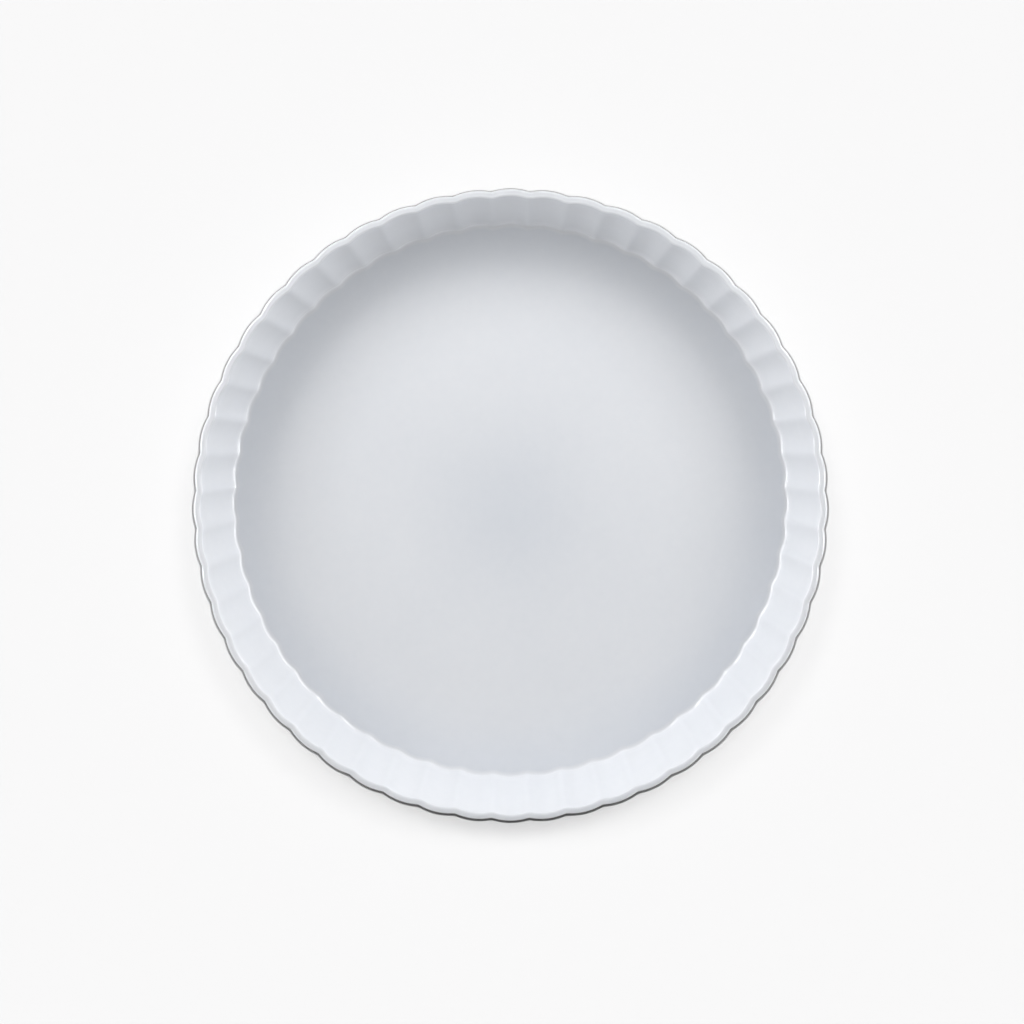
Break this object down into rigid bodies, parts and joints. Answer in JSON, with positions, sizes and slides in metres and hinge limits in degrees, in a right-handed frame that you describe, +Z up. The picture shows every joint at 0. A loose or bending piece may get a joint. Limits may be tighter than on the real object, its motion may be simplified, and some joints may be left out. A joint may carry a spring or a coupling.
{
  "type": "fluted quiche dish",
  "caption": "Fluted quiche dish in white glazed porcelain: a shallow round baking dish with a flared, scalloped wall, a rounded lip and a bare foot ring.",
  "frame": {"origin": "centre of the flat plane that the foot ring stands on", "axes": "+Z up along the dish's axis, out of its opening; +X and +Y level, each through the crown of a flute"},
  "size_m": [0.28, 0.28, 0.038],
  "materials": {
    "bare_porcelain": "matte",
    "white_glaze": "gloss"
  },
  "bodies": {
    "root": {"porcelain_body": "bare_porcelain", "glaze_coat": "white_glaze", "recess_glaze": "white_glaze"}
  },
  "joints": []
}
